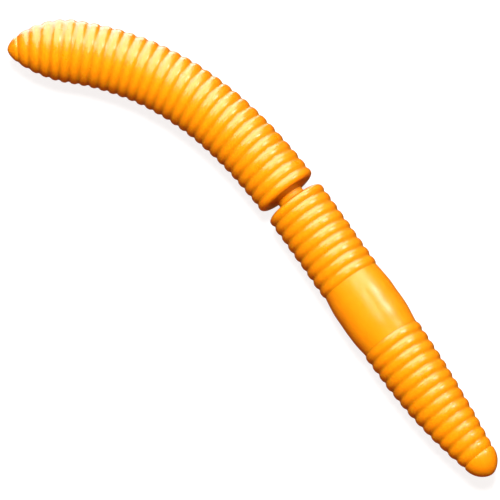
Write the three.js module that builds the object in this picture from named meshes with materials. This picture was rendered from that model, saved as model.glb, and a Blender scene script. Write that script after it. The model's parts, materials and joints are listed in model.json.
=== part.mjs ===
// Soft plastic worm for trout: a ringed tail section and a ringed front section, joined by a thin neck.
// The front section carries a smooth saddle band and ends in a tapering ringed head with a domed nose.
//
// Lengths are in millimetres. The worm lies on its belly, +Z is up, and its middle line stays level.
// The straight line from tail tip to nose tip runs along +X. Each ring is numbered along +X in its section.
// The material bends everywhere. Here it bends at one ring in four and at the neck, the only soft places;
// the rings between them, the saddle and the nose keep their shape.

import * as THREE from 'three';

// ---------------------------------------------------------------- driving sizes

const BODY_D = 6.2; // across the ring crests
const GROOVE_DEPTH = 0.15; // crest to groove, on the radius
const RING_PITCH = 1.08; // groove to groove, tail and front sections
const HEAD_RING_PITCH = 1.1;
const RIGID_RINGS = 3; // rings that stay together between two soft ones

const TAIL_TIP_LENGTH = 1; // smooth blunt point ahead of the first groove
const TAIL_TAPER = 6.0; // from the tail tip to the full diameter
const TAIL_BLUNTNESS = 1.65; // exponent of the taper's superellipse

const TAIL_RINGS = 28; // the end ring at the neck comes on top
const FRONT_RINGS = 8; // the end ring at the neck comes on top
const HEAD_RINGS = 13;

const NECK_D = 2.9;
const NECK_LENGTH = 0.45; // face to face
const NECK_WAIST = 0.06; // how much thinner its middle is, on the radius
const END_RING_LENGTH = 1.225; // groove to end face
const END_RING_CREST = 0.5; // groove to the crest
const END_FACE_D = 4.8; // where the end face turns into the rounded shoulder
const END_FACE_SLOPE = 12; // degrees that the face falls away from the neck

const SADDLE_LENGTH = 6.75;
const SADDLE_D = 6.4; // across its middle
const SADDLE_END_D = 5.9; // at the grooves beside it
const SADDLE_FLAT = 1.4; // length of the even part in the middle, which it lies on

const HEAD_TAPER = 0.43; // share of the radius lost from the saddle to the nose
const HEAD_TAPER_POWER = 2.15; // late and quick: the head is a bullet, not a cone
const NOSE_LENGTH = 2.15;
const NOSE_SHOULDER = 0.2; // groove to the widest part of the nose
const NOSE_BLUNTNESS = 1.75;

// The middle line: an even bend in the tail, easing to straight in the front section, then a slight
// bend back towards the nose.
const TAIL_BEND = 2.12; // degrees of turn per millimetre
const TAIL_BEND_END = 17.6; // length along the worm where the bend starts to ease
const BEND_EASE = 22; // length over which it eases to nothing
const HEAD_BEND_START = 50.2;
const HEAD_BEND_GAIN = 0.05; // degrees per millimetre, gained per millimetre

const SEAM_GAP = 0.05; // between the faces of two neighbouring pieces
const SIDES = 24; // an even number, so that one flat faces down
const LINE_STEP = 0.05; // step along the middle line

// ---------------------------------------------------------------- where each section starts

const ONE_FLAT = 1 / Math.cos(Math.PI / SIDES); // corner radius over radius across the flats
const BODY_R = BODY_D / 2;
const TAIL_RINGS_START = TAIL_TIP_LENGTH;
const TAIL_END_RING_START = TAIL_RINGS_START + TAIL_RINGS * RING_PITCH;
const NECK_START = TAIL_END_RING_START + END_RING_LENGTH;
const NECK_END = NECK_START + NECK_LENGTH;
const FRONT_RINGS_START = NECK_END + END_RING_LENGTH;
const SADDLE_START = FRONT_RINGS_START + FRONT_RINGS * RING_PITCH;
const HEAD_START = SADDLE_START + SADDLE_LENGTH;
const NOSE_START = HEAD_START + HEAD_RINGS * HEAD_RING_PITCH;
const WORM_LENGTH = NOSE_START + NOSE_LENGTH;

// ---------------------------------------------------------------- the middle line

/** Degrees turned, to the right, between the tail tip and the length s. */
function turnAt(s) {
  const even = TAIL_BEND * Math.min(s, TAIL_BEND_END);
  const eased = THREE.MathUtils.clamp(s - TAIL_BEND_END, 0, BEND_EASE);
  const back = Math.max(s - HEAD_BEND_START, 0);
  return even + TAIL_BEND * (eased - eased ** 2 / (2 * BEND_EASE)) - HEAD_BEND_GAIN * back ** 2 / 2;
}

/** Points of the middle line, one every LINE_STEP, turned so that its ends lie along X. */
function middleLine() {
  const points = [new THREE.Vector3()];
  for (let i = 0; i * LINE_STEP < WORM_LENGTH; i += 1) {
    const heading = -THREE.MathUtils.degToRad(turnAt((i + 0.5) * LINE_STEP));
    const step = new THREE.Vector3(Math.cos(heading), Math.sin(heading), 0).multiplyScalar(LINE_STEP);
    points.push(points[i].clone().add(step));
  }
  return points;
}

const LINE = middleLine();
const LINE_END = LINE[LINE.length - 1];
const TO_X = -Math.atan2(LINE_END.y, LINE_END.x);

/** Place and heading of the middle line at the length s. */
function lineAt(s) {
  const f = s / LINE_STEP;
  const i = THREE.MathUtils.clamp(Math.floor(f), 0, LINE.length - 2);
  const point = LINE[i].clone().lerp(LINE[i + 1], f - i);
  point.applyAxisAngle(new THREE.Vector3(0, 0, 1), TO_X);
  return { point, heading: TO_X - THREE.MathUtils.degToRad(turnAt(s)) };
}

// ---------------------------------------------------------------- radii

/** Radius over the crests at the length s, without grooves, saddle or end faces. */
function crestRadius(s) {
  if (s < TAIL_TAPER) {
    const left = 1 - s / TAIL_TAPER;
    return BODY_R * (1 - left ** TAIL_BLUNTNESS) ** (1 / TAIL_BLUNTNESS);
  }
  const along = THREE.MathUtils.clamp((s - HEAD_START) / (NOSE_START - HEAD_START), 0, 1);
  return BODY_R * (1 - HEAD_TAPER * along ** HEAD_TAPER_POWER);
}

/** Grooves are a little shallower where the worm is thinner. */
function grooveDepth(s) {
  return GROOVE_DEPTH * (0.5 + 0.5 * crestRadius(s) / BODY_R);
}

// A ring's outline: how far along it a point is, and what share of the groove depth it is below the crest.
const RING_OUTLINE = [
  [0, 1],
  [0.16, 0.63],
  [0.36, 0.05],
  [0.64, 0.05],
  [0.84, 0.63],
  [1, 1],
];

/** Outline points [radius, length] of whole rings from the length start, without the last groove. */
function ringOutline(start, rings, pitch) {
  const points = [];
  for (let ring = 0; ring < rings; ring += 1) {
    for (const [along, below] of RING_OUTLINE.slice(0, -1)) {
      const s = start + (ring + along) * pitch;
      points.push([crestRadius(s) - below * grooveDepth(s), s]);
    }
  }
  return points;
}

/** The outline point in the groove at the length s. */
function groovePoint(s) {
  return [crestRadius(s) - grooveDepth(s), s];
}

/** Outline of an end ring, groove first, drawn away from a neck at the length face. */
function endRingOutline(face, away) {
  const faceR = END_FACE_D / 2;
  const fall = (faceR - NECK_D / 2) * Math.tan(THREE.MathUtils.degToRad(END_FACE_SLOPE));
  const crest = END_RING_LENGTH - END_RING_CREST;
  const points = [
    [BODY_R - GROOVE_DEPTH, face + away * END_RING_LENGTH],
    [BODY_R - 0.25 * GROOVE_DEPTH, face + away * (END_RING_LENGTH - END_RING_CREST / 2)],
  ];
  for (const angle of [90, 60, 30, 0]) {
    const a = THREE.MathUtils.degToRad(angle);
    const radius = faceR + (BODY_R - faceR) * Math.sin(a);
    points.push([radius, face + away * (crest - (crest - fall) * Math.cos(a))]);
  }
  points.push([NECK_D / 2, face]);
  return points;
}

/** Outline of the smooth tail point. */
function tailTipOutline() {
  return [0, 0.08, 0.3, 0.65].map((share) => {
    const s = share * TAIL_TIP_LENGTH;
    return [crestRadius(s), s];
  });
}

/** Outline of the saddle band: a long, low bulge with an even middle. */
function saddleOutline() {
  const bulge = (SADDLE_D - SADDLE_END_D) / 2;
  const side = (SADDLE_LENGTH - SADDLE_FLAT) / 2;
  const rise = [0, 0.2, 0.45, 0.7, 1].map((share) => [
    SADDLE_END_D / 2 + bulge * Math.sin(share * Math.PI / 2),
    share * side,
  ]);
  const fall = rise.map(([radius, s]) => [radius, SADDLE_LENGTH - s]).reverse();
  return [...rise, ...fall].map(([radius, s]) => [radius, SADDLE_START + s]);
}

/** Outline of the domed nose. */
function noseOutline() {
  const shoulderR = crestRadius(NOSE_START) - 0.03;
  const dome = NOSE_LENGTH - NOSE_SHOULDER;
  const points = [groovePoint(NOSE_START)];
  for (const share of [0, 0.25, 0.5, 0.72, 0.9, 0.98, 1]) {
    const radius = shoulderR * (1 - share ** NOSE_BLUNTNESS) ** (1 / NOSE_BLUNTNESS);
    points.push([radius, NOSE_START + NOSE_SHOULDER + share * dome]);
  }
  return points;
}

// ---------------------------------------------------------------- solids

/** Moves a solid's end faces in by half a seam each, so that neighbours don't touch. */
function trimmed(outline) {
  const points = outline.map(([radius, s]) => [radius, s]);
  const last = points.length - 1;
  if (points[0][0] > 0) {
    points[0][1] += SEAM_GAP / 2;
  }
  if (points[last][0] > 0) {
    points[last][1] -= SEAM_GAP / 2;
  }
  return points;
}

/** Turns an outline about the middle line and bends the solid along that line, seen from its own place. */
function bentSolid(outline, place) {
  const points = trimmed(outline);
  const last = points.length - 1;
  const closed = [
    ...(points[0][0] > 0 ? [[0, points[0][1]]] : []),
    ...points,
    ...(points[last][0] > 0 ? [[0, points[last][1]]] : []),
  ];
  const profile = closed.map(([radius, s]) => new THREE.Vector2(radius * ONE_FLAT, s));
  const geometry = new THREE.LatheGeometry(profile, SIDES, Math.PI / SIDES);
  const position = geometry.attributes.position;
  for (let i = 0; i < position.count; i += 1) {
    const { point, heading } = lineAt(position.getY(i));
    const right = position.getX(i);
    const x = point.x + right * Math.sin(heading);
    const y = point.y - right * Math.cos(heading);
    position.setXYZ(i, x, y, position.getZ(i));
  }
  geometry.translate(-place.point.x, -place.point.y, 0);
  geometry.rotateZ(-place.heading);
  geometry.computeVertexNormals();
  return geometry;
}

/** Adds one named piece to a section. Its origin is the middle of the piece and its X runs along the worm. */
function addPiece(group, name, outline, colour) {
  const place = lineAt((outline[0][1] + outline[outline.length - 1][1]) / 2);
  const material = new THREE.MeshStandardMaterial({ color: colour, roughness: 0.35, metalness: 0 });
  material.name = `${name}_plastic`;
  const mesh = new THREE.Mesh(bentSolid(outline, place), material);
  mesh.name = name;
  mesh.position.set(place.point.x, place.point.y, 0);
  mesh.rotation.z = place.heading;
  group.add(mesh);
}

const FIRM_COLOUR = 0xf6a81c;
const SOFT_COLOUR = 0xffc445;
const NECK_COLOUR = 0xf08a12;
const SADDLE_COLOUR = 0xf9b021;

/** A section of the worm: its group, where its ring 1 starts, how many rings it has and how far apart. */
function makeSection(name, start, rings, pitch) {
  const group = new THREE.Group();
  group.name = `${name}_section`;
  return { name, group, start, rings, pitch };
}

/** A run of whole rings, from ring number first to ring number last of a section. */
function addRings(name, section, first, last, colour) {
  const start = section.start + (first - 1) * section.pitch;
  const end = section.start + last * section.pitch;
  const rings = ringOutline(start, last - first + 1, section.pitch);
  addPiece(section.group, name, [...rings, groovePoint(end)], colour);
}

/** Two digits, so that names sort along the worm. */
const numbered = (ring) => String(ring).padStart(2, '0');

/** A soft ring followed by the firm rings beyond it, over and over, up to the section's last ring. */
function addSoftAndFirm(section, firstSoft) {
  for (let soft = firstSoft; soft <= section.rings; soft += RIGID_RINGS + 1) {
    addRings(`${section.name}_soft_ring_${numbered(soft)}`, section, soft, soft, SOFT_COLOUR);
    const last = Math.min(soft + RIGID_RINGS, section.rings);
    if (last > soft) {
      const name = `${section.name}_rings_${numbered(soft + 1)}_${numbered(last)}`;
      addRings(name, section, soft + 1, last, FIRM_COLOUR);
    }
  }
}

const TAIL = makeSection('tail', TAIL_RINGS_START, TAIL_RINGS, RING_PITCH);
const FRONT = makeSection('front', FRONT_RINGS_START, FRONT_RINGS, RING_PITCH);
const HEAD = makeSection('head', HEAD_START, HEAD_RINGS, HEAD_RING_PITCH);

// Tail section: the tip with its first three rings, then soft and firm rings by turns. The last soft
// ring stands beside the end ring.
const tipRings = ringOutline(TAIL.start, RIGID_RINGS, TAIL.pitch);
const tipEnd = groovePoint(TAIL.start + RIGID_RINGS * TAIL.pitch);
addPiece(TAIL.group, 'tail_tip', [...tailTipOutline(), ...tipRings, tipEnd], FIRM_COLOUR);
addSoftAndFirm(TAIL, RIGID_RINGS + 1);
addPiece(TAIL.group, 'tail_end_ring', endRingOutline(NECK_START, -1), FIRM_COLOUR);

// Neck: a short waist between the two end faces.
const neckOutline = [0, 0.25, 0.5, 0.75, 1].map((share) => [
  NECK_D / 2 - NECK_WAIST * Math.sin(share * Math.PI),
  NECK_START + share * NECK_LENGTH,
]);
addPiece(FRONT.group, 'neck', neckOutline, NECK_COLOUR);

// Front section: the end ring with one ring behind it, then soft and firm rings by turns. The last
// two firm rings are fixed to the saddle.
const frontEnd = endRingOutline(NECK_END, 1).reverse().slice(0, -1);
const frontFirst = ringOutline(FRONT.start, 1, FRONT.pitch);
const frontFirstEnd = groovePoint(FRONT.start + FRONT.pitch);
addPiece(FRONT.group, 'front_end_rings', [...frontEnd, ...frontFirst, frontFirstEnd], FIRM_COLOUR);
addSoftAndFirm(FRONT, 2);
addPiece(FRONT.group, 'saddle', saddleOutline(), SADDLE_COLOUR);

// Head section: soft and firm rings by turns, and the nose ahead of the last soft ring.
addSoftAndFirm(HEAD, 1);
addPiece(HEAD.group, 'nose', noseOutline(), FIRM_COLOUR);

// ---------------------------------------------------------------- the whole worm

// The belly of the saddle comes to Z 0, and the middle of the outline to X 0 and Y 0.
const worm = new THREE.Group();
worm.name = 'soft_worm';
worm.add(TAIL.group, FRONT.group, HEAD.group);
const box = new THREE.Box3().setFromObject(worm, true);
const middle = box.getCenter(new THREE.Vector3());
worm.position.set(-middle.x, -middle.y, -box.min.z);

export default worm;
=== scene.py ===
# %% [markdown]
# # A ringed soft plastic worm
#
# The worm is one piece of soft plastic, cast in a two-part mould: a ringed tail section and a ringed
# front section joined by a thin neck, a smooth saddle band, and a ringed head with a domed nose.
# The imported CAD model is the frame. It says where everything is and how it bends. The skin that shows
# is built here, ring by ring, on the same middle line, and then given its finish.

# %% Load the frame
import json
import math

import bpy
import numpy as np
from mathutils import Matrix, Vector

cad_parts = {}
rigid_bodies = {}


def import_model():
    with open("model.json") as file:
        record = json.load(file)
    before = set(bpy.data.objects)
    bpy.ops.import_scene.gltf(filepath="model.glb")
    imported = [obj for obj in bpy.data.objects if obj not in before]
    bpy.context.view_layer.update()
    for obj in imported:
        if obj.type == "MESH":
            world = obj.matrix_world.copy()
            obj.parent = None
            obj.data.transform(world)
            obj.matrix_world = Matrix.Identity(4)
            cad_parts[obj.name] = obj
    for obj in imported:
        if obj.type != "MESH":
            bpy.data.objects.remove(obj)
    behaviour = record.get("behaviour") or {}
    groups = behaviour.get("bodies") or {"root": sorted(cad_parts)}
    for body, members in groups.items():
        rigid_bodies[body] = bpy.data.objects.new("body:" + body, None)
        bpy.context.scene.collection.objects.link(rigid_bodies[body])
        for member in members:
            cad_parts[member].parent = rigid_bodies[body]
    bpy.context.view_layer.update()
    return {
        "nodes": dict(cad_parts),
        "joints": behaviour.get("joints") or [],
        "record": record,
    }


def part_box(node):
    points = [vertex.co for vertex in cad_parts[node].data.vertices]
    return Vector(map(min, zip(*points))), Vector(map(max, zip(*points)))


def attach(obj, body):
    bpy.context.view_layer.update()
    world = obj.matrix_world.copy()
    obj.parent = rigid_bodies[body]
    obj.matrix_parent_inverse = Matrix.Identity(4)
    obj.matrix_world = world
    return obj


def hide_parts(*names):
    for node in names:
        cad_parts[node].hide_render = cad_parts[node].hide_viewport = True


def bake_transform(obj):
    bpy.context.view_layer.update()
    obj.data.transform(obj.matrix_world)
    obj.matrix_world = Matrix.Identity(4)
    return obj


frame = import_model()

MM = 0.001  # the worm's own sizes are in millimetres, Blender's are in metres

# %% [markdown]
# ## Sizes
#
# A casting like this is drawn from a few sizes: the diameter over the rings, the ring spacing and the
# length of each section. The diameters can be read from the frame, since a CAD node's box is as high as
# the piece is thick. The lengths along the bent middle line can't, so they are written out.

# %% Sizes along and across the worm
RING_PITCH = 1.08
HEAD_RING_PITCH = 1.1
TAIL_RINGS, FRONT_RINGS, HEAD_RINGS = 28, 8, 13
TAIL_TIP_LENGTH = 1.0
TAIL_TAPER = 6.0
END_RING_LENGTH = 1.225
NECK_LENGTH = 0.45
SADDLE_LENGTH = 6.75
NOSE_LENGTH = 2.15
GROOVE_DEPTH = 0.15


def thickness(node):
    """How high a CAD node stands, in mm: its diameter, because the worm lies level."""
    low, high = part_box(node)
    return (high.z - low.z) / MM


BODY_R = thickness("tail_rings_17_19") / 2
SADDLE_R = thickness("saddle") / 2
NECK_R = thickness("neck") / 2
BELLY_TO_MIDDLE = SADDLE_R
print("radii, mm: body", round(BODY_R, 3), "saddle", round(SADDLE_R, 3), "neck", round(NECK_R, 3))

# %% Where each section starts
TAIL_START = TAIL_TIP_LENGTH
TAIL_END_RING = TAIL_START + TAIL_RINGS * RING_PITCH
NECK_START = TAIL_END_RING + END_RING_LENGTH
NECK_END = NECK_START + NECK_LENGTH
FRONT_START = NECK_END + END_RING_LENGTH
SADDLE_START = FRONT_START + FRONT_RINGS * RING_PITCH
HEAD_START = SADDLE_START + SADDLE_LENGTH
NOSE_START = HEAD_START + HEAD_RINGS * HEAD_RING_PITCH
WORM_LENGTH = NOSE_START + NOSE_LENGTH
print("length along the worm, mm:", round(WORM_LENGTH, 2))

# %% [markdown]
# ## The middle line
#
# Soft plastic takes a lazy bend. A Bezier curve could be pushed about until it looks right, but a bend
# is easier to describe by how much the line turns for each millimetre: an even turn in the tail that
# eases to nothing, and a slight turn back near the nose. Adding up the small steps gives the line.

# %% The middle line
TAIL_BEND = 2.12  # degrees per millimetre
TAIL_BEND_END = 17.6
BEND_EASE = 22
HEAD_BEND_START = 50.2
HEAD_BEND_GAIN = 0.05
LINE_STEP = 0.01


def turn_at(s):
    """Degrees turned to the right by the length s: bend times length at first, then a bend that falls
    evenly to zero over BEND_EASE, and past HEAD_BEND_START half the gain times the square of the rest."""
    eased = np.clip(s - TAIL_BEND_END, 0, BEND_EASE)
    back = np.maximum(s - HEAD_BEND_START, 0)
    tail_turn = np.minimum(s, TAIL_BEND_END) + eased - eased**2 / (2 * BEND_EASE)
    return TAIL_BEND * tail_turn - HEAD_BEND_GAIN * back**2 / 2


LINE_S = np.arange(0, WORM_LENGTH + LINE_STEP, LINE_STEP)
step_heading = -np.radians(turn_at(LINE_S[:-1] + LINE_STEP / 2))
walk = np.stack([np.cos(step_heading), np.sin(step_heading)], axis=1) * LINE_STEP
LINE_XY = np.concatenate([np.zeros((1, 2)), np.cumsum(walk, axis=0)])
TO_X = -math.atan2(LINE_XY[-1, 1], LINE_XY[-1, 0])
LINE_XY = LINE_XY @ np.array([[math.cos(TO_X), math.sin(TO_X)], [-math.sin(TO_X), math.cos(TO_X)]])

JOINTS = {joint["name"]: joint for joint in frame["joints"]}
neck_pivot = np.array(JOINTS["neck_sway"]["pos_m"][:2]) / MM
neck_row = int(round((NECK_START + NECK_LENGTH / 2) / LINE_STEP))
LINE_XY += neck_pivot - LINE_XY[neck_row]  # the neck's joint turns about the middle of the neck


def line_at(s):
    """The middle line's points and headings at the lengths s."""
    x = np.interp(s, LINE_S, LINE_XY[:, 0])
    y = np.interp(s, LINE_S, LINE_XY[:, 1])
    return x, y, TO_X - np.radians(turn_at(s))


def length_at(point):
    """The length along the worm of the middle line's nearest step to a point in metres."""
    away = LINE_XY - np.array(point[:2]) / MM
    return float(LINE_S[np.argmin((away**2).sum(axis=1))])


pivots = {name: length_at(joint["pos_m"]) for name, joint in JOINTS.items()}
print("joints along the worm, mm:", {name: round(s, 2) for name, s in pivots.items()})

# %% [markdown]
# ## The skin as a surface of two parameters
#
# Every stretch of skin is an outline, a list of lengths s and radii r, carried round the middle line.
# A lathe would do for a straight worm; here each outline point also takes its own heading, so the
# turned shape bends with the line. The whole grid is worked out at once with numpy.
#
# Two things keep it from looking like a turned metal part. The radius wavers by about a hundredth of a
# millimetre, as a soft casting does, and a fine raised line runs along both sides, where the two halves
# of the mould met. The steps round the worm bunch up beside that line, so that it stays crisp.

# %% Round the worm
SIDES = 128
BUNCHING = 0.72
MOULD_LINE_HEIGHT = 0.02
MOULD_LINE_WIDTH = 0.09
WAVER = 0.012

even = np.arange(SIDES) * 2 * np.pi / SIDES
AROUND = even - BUNCHING / 2 * np.sin(2 * even)  # 0 is the right-hand side, a quarter turn is the top
WAVE_TURNS = (1, 2, 3, 2, 1, 4)
WAVE_LENGTHS = (9.1, 6.3, 4.2, 3.1, 2.3, 1.7)
rng = np.random.default_rng(11)
WAVES = list(zip(WAVE_TURNS, WAVE_LENGTHS, rng.uniform(0, 6.28, len(WAVE_TURNS))))


def waver(s, around):
    """Sum of six waves, each a whole number of turns round the worm by one wave length along it."""
    total = sum(np.sin(turns * around + 2 * np.pi * s / length + phase) for turns, length, phase in WAVES)
    return WAVER * total / math.sqrt(len(WAVES))


def mould_line(radius, around):
    """A narrow bell curve over the distance from the side line, on both sides of the worm."""
    from_line = radius * np.abs(np.sin(around))
    return MOULD_LINE_HEIGHT * np.exp(-((from_line / MOULD_LINE_WIDTH) ** 2))


def skin_grid(outline):
    """Points in metres, one row for each outline point: the middle line's point, plus the radius times
    the cosine of the angle to the right and times the sine of the angle upwards."""
    s, r = outline[:, :1], outline[:, 1:2]
    around = AROUND[None, :]
    share = np.clip(r / BODY_R, 0, 1)
    radius = r + share * (waver(s, around) + mould_line(r, around))
    x, y, heading = line_at(s)
    right = radius * np.cos(around)
    up = radius * np.sin(around)
    points = [x + right * np.sin(heading), y - right * np.cos(heading), BELLY_TO_MIDDLE + up]
    return np.stack(points, axis=-1) * MM


# %% [markdown]
# ## From a grid to a closed piece
#
# A grid of points becomes quads, with the last column joined to the first. Each end is closed by a fan
# of triangles to the middle, so every piece is a solid with its faces pointing out. The caps are flat
# shaded and the skin is smooth, which keeps the edge between them sharp. A UV map says how far along
# and how far round a point is. An attribute called groove holds painted shade, how much the dye is
# darkened where shade falls: some at the bottom of a groove, and fully on the two end faces at the neck.

# %% Make a piece
def grid_faces(rows):
    """Corner numbers of the quads between neighbouring rows, turned so that they face outwards."""
    i = np.arange(rows - 1)[:, None] * SIDES
    k = np.arange(SIDES)[None, :]
    after = (k + 1) % SIDES
    return np.stack([i + k, i + SIDES + k, i + SIDES + after, i + after], axis=-1).reshape(-1, 4)


def fan_faces(ring, middle, backwards):
    """Triangles from a ring of corners to a middle corner."""
    after = np.roll(ring, -1)
    pair = [ring, after] if backwards else [after, ring]
    return np.stack([*pair, np.full(SIDES, middle)], axis=1)


def build_piece(name, outline, groove=None):
    """A closed mesh object from an outline of [length, radius] rows, tail side first."""
    grid = skin_grid(outline)
    rows = len(outline)
    x, y, _ = line_at(outline[[0, -1], 0])
    middles = np.stack([x, y, np.full(2, BELLY_TO_MIDDLE)], axis=1) * MM
    points = np.concatenate([grid.reshape(-1, 3), middles])
    first = np.arange(SIDES)
    last = first + (rows - 1) * SIDES
    quads = grid_faces(rows)
    caps = np.concatenate([fan_faces(first, rows * SIDES, True), fan_faces(last, rows * SIDES + 1, False)])
    mesh = bpy.data.meshes.new(name)
    mesh.from_pydata(points, [], [*quads.tolist(), *caps.tolist()])
    smooth = np.arange(len(mesh.polygons)) < len(quads)
    mesh.polygons.foreach_set("use_smooth", smooth)

    along = np.repeat(outline[:, 0] / WORM_LENGTH, SIDES)
    corner = np.empty(len(mesh.loops), np.int32)
    mesh.loops.foreach_get("vertex_index", corner)
    u = np.append(np.tile(np.arange(SIDES) / SIDES, rows), [0.5, 0.5])[corner]
    order = np.arange(len(corner))
    far_side = (order < 4 * len(quads)) & (order % 4 >= 2)  # the last two corners of each quad
    u = np.where(far_side & (corner % SIDES == 0), 1.0, u)
    v = np.append(along, [along[0], along[-1]])[corner]
    mesh.uv_layers.new(name="skin").data.foreach_set("uv", np.stack([u, v], axis=1).ravel())

    # the groove attribute is painted shade: how much the dye is darkened there
    depth = np.zeros(rows) if groove is None else groove
    values = np.append(np.repeat(depth, SIDES), [depth[0], depth[-1]])
    mesh.attributes.new("groove", "FLOAT", "POINT").data.foreach_set("value", values)
    mesh.validate()
    piece = bpy.data.objects.new(name, mesh)
    bpy.context.scene.collection.objects.link(piece)
    return piece


# %% [markdown]
# ## The outlines
#
# A ring is a low rib with a broad round crest, and it runs into the next ring through a narrower round
# groove. Half a cosine wave raised to a power gives that in one line: the higher the power, the
# broader the crest and the narrower the groove.

# %% The rings
RING_POWER = 3.5
RING_POINTS = 21
GROOVE_SHADE = 0.55  # painted shade: how much the dye is darkened at the bottom of a groove
TAIL_BLUNTNESS = 1.65
HEAD_TAPER = 0.43
HEAD_TAPER_POWER = 2.15


def crest_radius(s):
    """Radius over the crests: a superellipse at the tail, even in the middle, and at the head a taper
    that grows with a power of the length past the saddle."""
    left = np.clip(1 - s / TAIL_TAPER, 0, 1)
    tail = BODY_R * (1 - left**TAIL_BLUNTNESS) ** (1 / TAIL_BLUNTNESS)
    past = np.clip((s - HEAD_START) / (NOSE_START - HEAD_START), 0, 1)
    return np.where(s < TAIL_TAPER, tail, BODY_R * (1 - HEAD_TAPER * past**HEAD_TAPER_POWER))


def groove_depth(s):
    """Grooves are a little shallower where the worm is thinner."""
    return GROOVE_DEPTH * (0.5 + 0.5 * crest_radius(s) / BODY_R)


def ring_outline(start, pitch):
    """One ring, groove to groove, with more points near its grooves, and the painted shade of each point,
    which grows with how deep it lies.
    """
    share = (1 - np.cos(np.linspace(0, np.pi, RING_POINTS))) / 2
    s = start + share * pitch
    depth = np.abs(np.cos(np.pi * share)) ** RING_POWER
    return np.stack([s, crest_radius(s) - depth * groove_depth(s)], axis=1), depth * GROOVE_SHADE


sample, _ = ring_outline(TAIL_START + 14 * RING_PITCH, RING_PITCH)
print("a ring's radius, mm: groove", sample[0, 1].round(3), "crest", sample[:, 1].max().round(3))

# %% [markdown]
# ## Ends, neck and saddle
#
# At the neck each section ends in a plump ring with a rounded shoulder and a face that falls back a
# little, like the end of a cork. The shoulder is a quarter of an ellipse. The neck between the faces is
# waisted, the tail tip is a superellipse, the nose is a blunter one, and the saddle swells by a quarter
# of a millimetre and falls off towards its two grooves along a sine.

# %% The end rings and the neck
END_RING_CREST = 0.5
END_FACE_R = 2.4
END_FACE_SLOPE = math.radians(12)
NECK_WAIST = 0.06
FACE_SETBACK = 0.025  # each end face lies this far behind the neck's end, so the two never meet


def end_ring_outline(face, away):
    """From the neck outwards: the falling face, a quarter ellipse, and a power of a sine to the groove.
    The face gets full painted shade, its dye darkened as if in shadow, fading over the shoulder, and the
    groove gets some as every ring's groove does."""
    crest = END_RING_LENGTH - END_RING_CREST
    fall = FACE_SETBACK + (END_FACE_R - NECK_R) * math.tan(END_FACE_SLOPE)
    r_face = np.linspace(NECK_R, END_FACE_R, 6)[:-1]
    q_face = FACE_SETBACK + (r_face - NECK_R) * math.tan(END_FACE_SLOPE)
    turn = np.linspace(0, np.pi / 2, 13)
    r_shoulder = END_FACE_R + (BODY_R - END_FACE_R) * np.sin(turn)
    q_shoulder = crest - (crest - fall) * np.cos(turn)
    share = np.linspace(0, 1, 9)[1:]
    q_groove = crest + share * END_RING_CREST
    sunk = np.sin(share * np.pi / 2) ** RING_POWER
    # painted shade: full on the face, fading over the shoulder, and some in the groove
    depth = np.concatenate([np.ones(len(r_face)), np.cos(turn) ** 4, sunk * GROOVE_SHADE])
    r = np.concatenate([r_face, r_shoulder, BODY_R - GROOVE_DEPTH * sunk])
    q = np.concatenate([q_face, q_shoulder, q_groove])
    outline = np.stack([face + away * q, r], axis=1)
    return (outline, depth) if away > 0 else (outline[::-1], depth[::-1])


def neck_outline():
    """A waist: half a sine is taken from the radius between the two faces."""
    share = np.linspace(0, 1, 13)
    s = NECK_START - FACE_SETBACK + share * (NECK_LENGTH + 2 * FACE_SETBACK)
    return np.stack([s, NECK_R - NECK_WAIST * np.sin(np.pi * share)], axis=1)


# %% The tail tip, saddle and nose
SADDLE_END_R = 2.95
SADDLE_FLAT = 1.4
NOSE_SHOULDER = 0.2
NOSE_BLUNTNESS = 1.75
NOSE_INSET = 0.03  # how far the dome's rim lies under the last crest
TIP_SMOOTH = 0.6  # the share of the tail tip ahead of its groove
TIP_R = 0.02  # the last step of a closed pole, before the cap


def tail_tip_outline():
    """The smooth point ahead of the first groove."""
    s = TAIL_TIP_LENGTH * np.linspace(0, 1, 25) ** 2
    r = np.maximum(crest_radius(s), TIP_R)
    into_groove = np.clip((s / TAIL_TIP_LENGTH - TIP_SMOOTH) / (1 - TIP_SMOOTH), 0, 1)
    return np.stack([s, r - groove_depth(s) * np.sin(into_groove * np.pi / 2) ** RING_POWER], axis=1)


def saddle_outline():
    """Rises along a quarter sine, runs level for SADDLE_FLAT, and falls the same way."""
    s = (1 - np.cos(np.linspace(0, np.pi, 49))) / 2 * SADDLE_LENGTH
    side = (SADDLE_LENGTH - SADDLE_FLAT) / 2
    share = np.clip(np.minimum(s, SADDLE_LENGTH - s) / side, 0, 1)
    r = SADDLE_END_R + (SADDLE_R - SADDLE_END_R) * np.sin(share * np.pi / 2)
    return np.stack([SADDLE_START + s, r], axis=1)


def nose_outline():
    """A quarter sine out of the groove, then a superellipse down to the tip."""
    shoulder_r = float(crest_radius(np.array(NOSE_START))) - NOSE_INSET
    groove_r = float(crest_radius(np.array(NOSE_START)) - groove_depth(np.array(NOSE_START)))
    rise = np.linspace(0, 1, 7)[:-1]
    rise_s = NOSE_START + rise * NOSE_SHOULDER
    rise_r = groove_r + (shoulder_r - groove_r) * np.sin(rise * np.pi / 2)
    share = np.sin(np.linspace(0, np.pi / 2, 33))
    dome_s = NOSE_START + NOSE_SHOULDER + share * (NOSE_LENGTH - NOSE_SHOULDER)
    dome_r = np.maximum(shoulder_r * (1 - share**NOSE_BLUNTNESS) ** (1 / NOSE_BLUNTNESS), TIP_R)
    return np.stack([np.append(rise_s, dome_s), np.append(rise_r, dome_r)], axis=1)


# %% [markdown]
# ## How the skin follows the joints
#
# The CAD bends at one ring in four and at the neck. Soft plastic doesn't kink, so a joint's bend is
# taken to reach over the soft ring and the ring on each side of it, and over the neck itself: the pieces
# there are left fixed in place and ride on neither body. The middle ring of each firm run rides on its
# body. The reach never goes past the end of a ringed section, so the end rings, the saddle and the
# nose keep their shape.

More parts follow.
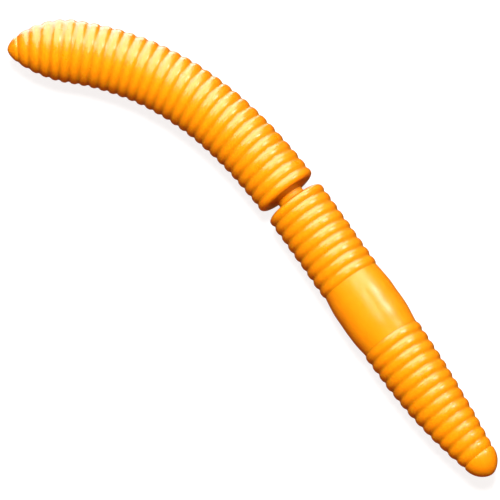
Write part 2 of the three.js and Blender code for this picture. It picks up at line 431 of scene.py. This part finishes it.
# %% Which joint a stretch of skin bends at
SECTIONS = [
    ("tail", TAIL_START, TAIL_RINGS, RING_PITCH),
    ("front", FRONT_START, FRONT_RINGS, RING_PITCH),
    ("head", HEAD_START, HEAD_RINGS, HEAD_RING_PITCH),
]


def bend_reach(name):
    """The lengths between which a joint's bend is shared."""
    pivot = pivots[name]
    if name == "neck_sway":
        return NECK_START, NECK_END
    for _, start, rings, pitch in SECTIONS:
        end = start + rings * pitch
        if start < pivot < end:
            return max(start, pivot - 1.5 * pitch), min(end, pivot + 1.5 * pitch)


def tail_side_first(joint):
    """A joint's two bodies, the one nearer the tail first: each body's place is its first node's."""
    def place(body):
        node = frame["nodes"][frame["record"]["behaviour"]["bodies"][body][0]].name
        low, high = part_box(node)
        return length_at((low + high) / 2)
    return sorted((joint["parent"], joint["child"]), key=place)


BENDS = sorted((*bend_reach(name), *tail_side_first(joint)) for name, joint in JOINTS.items())
for start, end, tail_body, nose_body in BENDS:
    print(f"bend {start:5.2f} to {end:5.2f} mm, {tail_body} to {nose_body}")


def point_on_line(s):
    x, y, _ = line_at(np.array([s]))
    return (x[0] * MM, y[0] * MM, BELLY_TO_MIDDLE * MM)


def follow(piece, middle):
    """Leaves a piece fixed in place, with its transform baked, when a joint's bend holds its middle, or
    lets it ride on one body.
    """
    for start, end, tail_body, nose_body in BENDS:
        if start < middle < end:
            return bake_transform(piece)
        if middle < start:
            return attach(piece, tail_body)
    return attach(piece, BENDS[-1][3])


# %% [markdown]
# ## The finish
#
# The plastic is a soft, slightly see-through vinyl, dyed through in a warm yellow orange. Light goes in
# and comes out again a little way off, redder than it went in, so thick shaded flanks look deep orange
# and not grey. That is subsurface scattering, and it is set on the Principled shader with a short
# radius, longest for red. An oily film on the vinyl gives the broad soft highlights.
#
# What changes over the surface comes from one shared node group: clouds in the dye, painted shade
# in the grooves and on the end faces, patches that are wiped drier than others, and a fine unevenness from
# the mould.

# %% The shared skin group
CLOUDS, WIPED_PATCHES, BROAD_BUMPS, FINE_BUMPS = 420, 700, 900, 5200  # noise scales, per metre
GROOVE_SHADE_FADE = 1.6  # above 1, the painted shade keeps to the bottom of a groove
WIPED_RANGE = 0.22  # how much the roughness changes from patch to patch
BROAD_SHARE = 0.7  # of the bumps' height, the rest being fine


def value_noise(tree, vector, scale, detail, roughness=0.5):
    node = tree.nodes.new("ShaderNodeTexNoise")
    node.inputs["Scale"].default_value = scale
    node.inputs["Detail"].default_value = detail
    node.inputs["Roughness"].default_value = roughness
    tree.links.new(vector, node.inputs["Vector"])
    return node.outputs["Fac"]


def math_node(tree, operation, a, b):
    node = tree.nodes.new("ShaderNodeMath")
    node.operation = operation
    for socket, value in zip(node.inputs, (a, b)):
        if isinstance(value, (int, float)):
            socket.default_value = value
        else:
            tree.links.new(value, socket)
    return node.outputs[0]


def mix_colour(tree, factor, a, b):
    node = tree.nodes.new("ShaderNodeMix")
    node.data_type = "RGBA"
    for name, value in (("Factor", factor), ("A", a), ("B", b)):
        socket = next(s for s in node.inputs if s.name == name and s.enabled)
        if hasattr(value, "is_output"):
            tree.links.new(value, socket)
        else:
            socket.default_value = value
    return next(s for s in node.outputs if s.enabled)


def make_skin_group():
    """Dye colour with painted shade mixed in, roughness and height of the cast vinyl, from its place and
    the painted shade attribute.
    """
    group = bpy.data.node_groups.new("cast_vinyl_skin", "ShaderNodeTree")
    face = group.interface
    for name, kind in (
        ("Vector", "NodeSocketVector"),
        ("Painted Shade", "NodeSocketFloat"),
        ("Dye", "NodeSocketColor"),
        ("Deep Dye And Shade", "NodeSocketColor"),
        ("Clouding And Shade", "NodeSocketFloat"),
        ("Roughness", "NodeSocketFloat"),
        ("Unevenness", "NodeSocketFloat"),
    ):
        face.new_socket(name, in_out="INPUT", socket_type=kind)
    for name, kind in (
        ("Color", "NodeSocketColor"),
        ("Roughness", "NodeSocketFloat"),
        ("Height", "NodeSocketFloat"),
    ):
        face.new_socket(name, in_out="OUTPUT", socket_type=kind)
    given = group.nodes.new("NodeGroupInput").outputs
    result = group.nodes.new("NodeGroupOutput").inputs
    place = given["Vector"]

    clouds = value_noise(group, place, CLOUDS, 2)
    # painted shade: the groove attribute darkens the dye towards the deep colour in grooves and on the end
    # faces
    painted_shade = math_node(group, "POWER", given["Painted Shade"], GROOVE_SHADE_FADE)
    cloud_share = math_node(group, "MULTIPLY", clouds, given["Clouding And Shade"])
    shade_and_cloud_share = math_node(group, "MINIMUM", math_node(group, "ADD", painted_shade, cloud_share), 1.0)
    group.links.new(mix_colour(group, shade_and_cloud_share, given["Dye"], given["Deep Dye And Shade"]), result["Color"])

    wiped = value_noise(group, place, WIPED_PATCHES, 3, 0.6)
    patch = math_node(group, "MULTIPLY", math_node(group, "SUBTRACT", wiped, 0.5), WIPED_RANGE)
    group.links.new(math_node(group, "ADD", given["Roughness"], patch), result["Roughness"])

    broad = math_node(group, "MULTIPLY", value_noise(group, place, BROAD_BUMPS, 2), BROAD_SHARE)
    fine = math_node(group, "MULTIPLY", value_noise(group, place, FINE_BUMPS, 3, 0.6), 1 - BROAD_SHARE)
    mixed = math_node(group, "ADD", broad, fine)
    group.links.new(math_node(group, "MULTIPLY", mixed, given["Unevenness"]), result["Height"])
    return group


SKIN_GROUP = make_skin_group()
print("skin group inputs:", [s.name for s in SKIN_GROUP.interface.items_tree if s.in_out == "INPUT"])

# %% [markdown]
# Three finishes share that group. The rings are the glossiest. The saddle is a touch duller, and the
# neck is dull, since the thin web between the end faces is seldom touched or wiped, and its heavy clouds
# of deep colour are painted shade, darkening it as if in shadow.

# %% The vinyl
DYE = (0.94, 0.305, 0.002, 1)
# the deep colour is also the painted shade in the grooves, on the end faces and on the neck
DEEP_DYE_AND_SHADE = (0.5, 0.15, 0.001, 1)
BUMP_HEIGHT = 0.06  # millimetres


def make_vinyl(name, clouding_and_shade, roughness, unevenness, scatter):
    """Cast vinyl. Scatter is how far red light travels inside it, in millimetres."""
    material = bpy.data.materials.new(name)
    material.use_nodes = True
    tree = material.node_tree
    shader = tree.nodes["Principled BSDF"]
    skin = tree.nodes.new("ShaderNodeGroup")
    skin.node_tree = SKIN_GROUP
    for socket, value in (
        ("Dye", DYE),
        ("Deep Dye And Shade", DEEP_DYE_AND_SHADE),
        ("Clouding And Shade", clouding_and_shade),
        ("Roughness", roughness),
        ("Unevenness", unevenness),
    ):
        skin.inputs[socket].default_value = value
    place = tree.nodes.new("ShaderNodeTexCoord")
    groove = tree.nodes.new("ShaderNodeAttribute")
    groove.attribute_name = "groove"
    bump = tree.nodes.new("ShaderNodeBump")
    bump.inputs["Distance"].default_value = BUMP_HEIGHT * MM
    bump.inputs["Strength"].default_value = 0.6
    for out, into in (
        (place.outputs["Object"], skin.inputs["Vector"]),
        (groove.outputs["Fac"], skin.inputs["Painted Shade"]),
        (skin.outputs["Color"], shader.inputs["Base Color"]),
        (skin.outputs["Roughness"], shader.inputs["Roughness"]),
        (skin.outputs["Height"], bump.inputs["Height"]),
        (bump.outputs["Normal"], shader.inputs["Normal"]),
    ):
        tree.links.new(out, into)
    shader.inputs["IOR"].default_value = 1.5
    shader.inputs["Subsurface Weight"].default_value = 0.25
    shader.inputs["Subsurface Radius"].default_value = (1.0, 0.32, 0.06)
    shader.inputs["Subsurface Scale"].default_value = scatter * MM
    shader.inputs["Coat Weight"].default_value = 0.1
    shader.inputs["Coat Roughness"].default_value = 0.25
    return material


RING_VINYL = make_vinyl("ring_vinyl", 0.12, 0.31, 1.0, 0.6)
SADDLE_VINYL = make_vinyl("saddle_vinyl", 0.1, 0.34, 0.8, 0.7)
# the neck's heavy clouds are painted shade: they darken the web as if in shadow
NECK_VINYL = make_vinyl("neck_vinyl", 0.8, 0.5, 1.0, 0.5)

# %% [markdown]
# ## Putting the worm together
#
# Each ring and each smooth part becomes one piece. It takes the place of the CAD node that holds it,
# gets the plastic's slot, and either rides on a body or, inside a bend, stays fixed in place.

# %% Build every piece of the worm
def add_skin(name, outline, node, material, groove=None):
    """Builds a piece, gives it its finish, hides the CAD node that it stands for, and hangs it on a body
    or leaves it fixed in a bend.
    """
    piece = build_piece(name, outline, groove)
    piece.data.materials.append(material)
    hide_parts(node)
    follow(piece, (outline[0, 0] + outline[-1, 0]) / 2)


def node_of_ring(section, ring):
    """The CAD node that holds a ring: its own soft ring, a run of firm rings, or the tail tip or end."""
    if section == "tail" and ring < 4:
        return "tail_tip"
    if section == "front" and ring == 1:
        return "front_end_rings"
    for node in frame["nodes"]:
        first_last = [int(part) for part in node.split("_") if part.isdigit()]
        if node.startswith(section) and first_last and first_last[0] <= ring <= first_last[-1]:
            return node


for section, start, rings, pitch in SECTIONS:
    for ring in range(1, rings + 1):
        # depth here is the painted shade that darkens each ring's groove
        outline, depth = ring_outline(start + (ring - 1) * pitch, pitch)
        add_skin(f"{section}_ring_{ring:02d}", outline, node_of_ring(section, ring), RING_VINYL, depth)
    print(section, "section:", rings, "rings")

tail_end_outline, tail_end_shade = end_ring_outline(NECK_START, -1)
front_end_outline, front_end_shade = end_ring_outline(NECK_END, 1)
add_skin("tail_point", tail_tip_outline(), "tail_tip", RING_VINYL)
add_skin("tail_end_bead", tail_end_outline, "tail_end_ring", RING_VINYL, tail_end_shade)
add_skin("neck_web", neck_outline(), "neck", NECK_VINYL)
add_skin("front_end_bead", front_end_outline, "front_end_rings", RING_VINYL, front_end_shade)
add_skin("saddle_band", saddle_outline(), "saddle", SADDLE_VINYL)
add_skin("nose_dome", nose_outline(), "nose", RING_VINYL)

# %% [markdown]
# ## Floor, light and camera
#
# The worm lies on a plain white table. One box almost overhead lights the plastic and isn't seen in its
# shine. Two more are seen only in the shine: they give the double highlight on each ring, one nearly
# overhead and one lower, beyond the worm. Two small ones close to the tail give its broad pale glow and
# the light along its far rim. Little light comes from the front, so the flanks on that side fall away
# to deep orange, and the dim surroundings are a warm orange. The floor sends no light back up, as when
# a worm is shot on a dark table and the table is later made white.

# %% The floor
FLOOR_HALF = 3.0


def make_floor():
    """A square of pale floor under the belly."""
    mesh = bpy.data.meshes.new("pale_floor")
    corners = [(x * FLOOR_HALF, y * FLOOR_HALF, 0) for x, y in ((-1, -1), (1, -1), (1, 1), (-1, 1))]
    mesh.from_pydata(corners, [], [(0, 1, 2, 3)])
    floor = bpy.data.objects.new("pale_floor", mesh)
    bpy.context.scene.collection.objects.link(floor)
    material = bpy.data.materials.new("pale_table")
    material.use_nodes = True
    shader = material.node_tree.nodes["Principled BSDF"]
    shader.inputs["Base Color"].default_value = (0.2, 0.2, 0.2, 1)
    shader.inputs["Roughness"].default_value = 0.9
    shader.inputs["Emission Color"].default_value = (1, 1, 1, 1)
    shader.inputs["Emission Strength"].default_value = 0.86
    mesh.materials.append(material)
    floor.visible_diffuse = False
    floor.visible_glossy = False


make_floor()

# %% [markdown]
# Each light is placed by the direction it comes from, seen from the point of the worm it is aimed at.

# %% The lights
def direction(azimuth, elevation):
    """From the worm towards a light or camera. Azimuth 0 stands on the -Y side and looks along +Y."""
    a, e = math.radians(azimuth), math.radians(elevation)
    return Vector((math.sin(a) * math.cos(e), -math.cos(a) * math.cos(e), math.sin(e)))


def soft_box(name, azimuth, elevation, distance, size, watts, aim=(0, 0, 0)):
    """An area light aimed at a point of the worm. Sizes and distances are in metres."""
    light = bpy.data.lights.new(name, "AREA")
    light.shape = "RECTANGLE"
    light.size, light.size_y = size
    light.energy = watts
    box = bpy.data.objects.new(name, light)
    towards = direction(azimuth, elevation)
    box.location = Vector(aim) + towards * distance
    box.rotation_euler = (-towards).to_track_quat("-Z", "Y").to_euler()
    bpy.context.scene.collection.objects.link(box)
    return box


key = soft_box("key_box", 221, 76, 0.4, (0.12, 0.12), 3.0)
key.visible_glossy = False
for streak in (
    soft_box("overhead_streak", 221, 80, 0.4, (0.12, 0.12), 0.38),
    soft_box("far_streak", 175, 43, 0.4, (0.1, 0.1), 0.88),
    soft_box("tail_glow", 228, 32, 0.1, (0.16, 0.16), 0.55, aim=point_on_line(TAIL_TAPER / 2)),
    soft_box("tail_rim_glow", 228, -25, 0.1, (0.1, 0.1), 0.16, aim=point_on_line(TAIL_TAPER / 2)),
):
    streak.visible_diffuse = False

SURROUNDINGS = (1, 0.36, 0.08, 1)
world = bpy.data.worlds.new("studio")
world.use_nodes = True
world.node_tree.nodes["Background"].inputs["Color"].default_value = SURROUNDINGS
world.node_tree.nodes["Background"].inputs["Strength"].default_value = 0.27
bpy.context.scene.world = world
bpy.context.scene.view_settings.view_transform = "Standard"

# %% [markdown]
# The camera looks down steeply from the nose's side, from far enough away that near and far rings look
# the same size.

# %% The camera
CAMERA_AZIMUTH = 41.66
CAMERA_ELEVATION = 79
CAMERA_DISTANCE = 0.8
FRAME_WIDTH = 0.048265  # what the frame takes in at the worm's middle line
SENSOR = 36.0
AIM = Vector((-0.47, -4.22, BELLY_TO_MIDDLE)) * MM

camera_data = bpy.data.cameras.new("camera")
camera_data.sensor_width = SENSOR
camera_data.lens = SENSOR * CAMERA_DISTANCE / FRAME_WIDTH
camera_data.clip_start = 0.01
camera = bpy.data.objects.new("camera", camera_data)
towards_camera = direction(CAMERA_AZIMUTH, CAMERA_ELEVATION)
camera.location = AIM + towards_camera * CAMERA_DISTANCE
camera.rotation_euler = (-towards_camera).to_track_quat("-Z", "Y").to_euler()
bpy.context.scene.collection.objects.link(camera)
bpy.context.scene.camera = camera
print("lens, mm:", round(camera_data.lens, 1))
